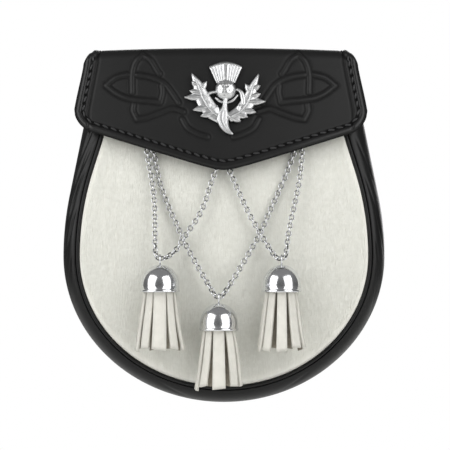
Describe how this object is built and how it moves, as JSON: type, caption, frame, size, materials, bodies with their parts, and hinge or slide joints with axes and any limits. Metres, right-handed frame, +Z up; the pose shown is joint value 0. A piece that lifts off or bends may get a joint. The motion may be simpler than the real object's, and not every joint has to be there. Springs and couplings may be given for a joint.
{
  "type": "sporran pouch",
  "caption": "Rounded leather belt pouch with a pale hide front, a folding tooled flap with a thistle badge, and leather tassels hung on crossed chains.",
  "frame": {"origin": "on the back panel's outer face, midway between the two belt loops, where the strap carries the pouch", "axes": "+X to the viewer's right when facing the front, -Y out of the front, +Z up"},
  "size_m": [0.185, 0.0717, 0.2041],
  "materials": {
    "black_leather": "satin",
    "white_hide": "short hair, matte",
    "pale_leather": "matte",
    "polished_metal": "polished"
  },
  "bodies": {
    "pouch": {"back_panel": "black_leather", "gusset": "black_leather", "front_panel": "white_hide", "front_welt": "black_leather", "flap": "black_leather", "flap_stud": "polished_metal", "thistle_badge": "polished_metal", "belt_loop_left": "black_leather", "belt_loop_right": "black_leather", "chain_staple_left": "polished_metal", "chain_staple_middle": "polished_metal", "chain_staple_right": "polished_metal", "chain_left": "polished_metal", "chain_middle": "polished_metal", "chain_right": "polished_metal"},
    "tassel_left": {"tassel_left_cap": "polished_metal", "tassel_left_strips": "pale_leather"},
    "tassel_middle": {"tassel_middle_cap": "polished_metal", "tassel_middle_strips": "pale_leather"},
    "tassel_right": {"tassel_right_cap": "polished_metal", "tassel_right_strips": "pale_leather"}
  },
  "joints": [
    {"name": "tassel_left_swing", "type": "hinge", "parent": "pouch", "child": "tassel_left", "pos_m": [-0.0362, -0.05145, -0.0612], "axis": [-1, 0, 0], "range_deg": [0, 80]},
    {"name": "tassel_middle_swing", "type": "hinge", "parent": "pouch", "child": "tassel_middle", "pos_m": [-0.0029, -0.05213, -0.083], "axis": [-1, 0, 0], "range_deg": [0, 80]},
    {"name": "tassel_right_swing", "type": "hinge", "parent": "pouch", "child": "tassel_right", "pos_m": [0.0327, -0.0517, -0.0612], "axis": [-1, 0, 0], "range_deg": [0, 80]}
  ]
}
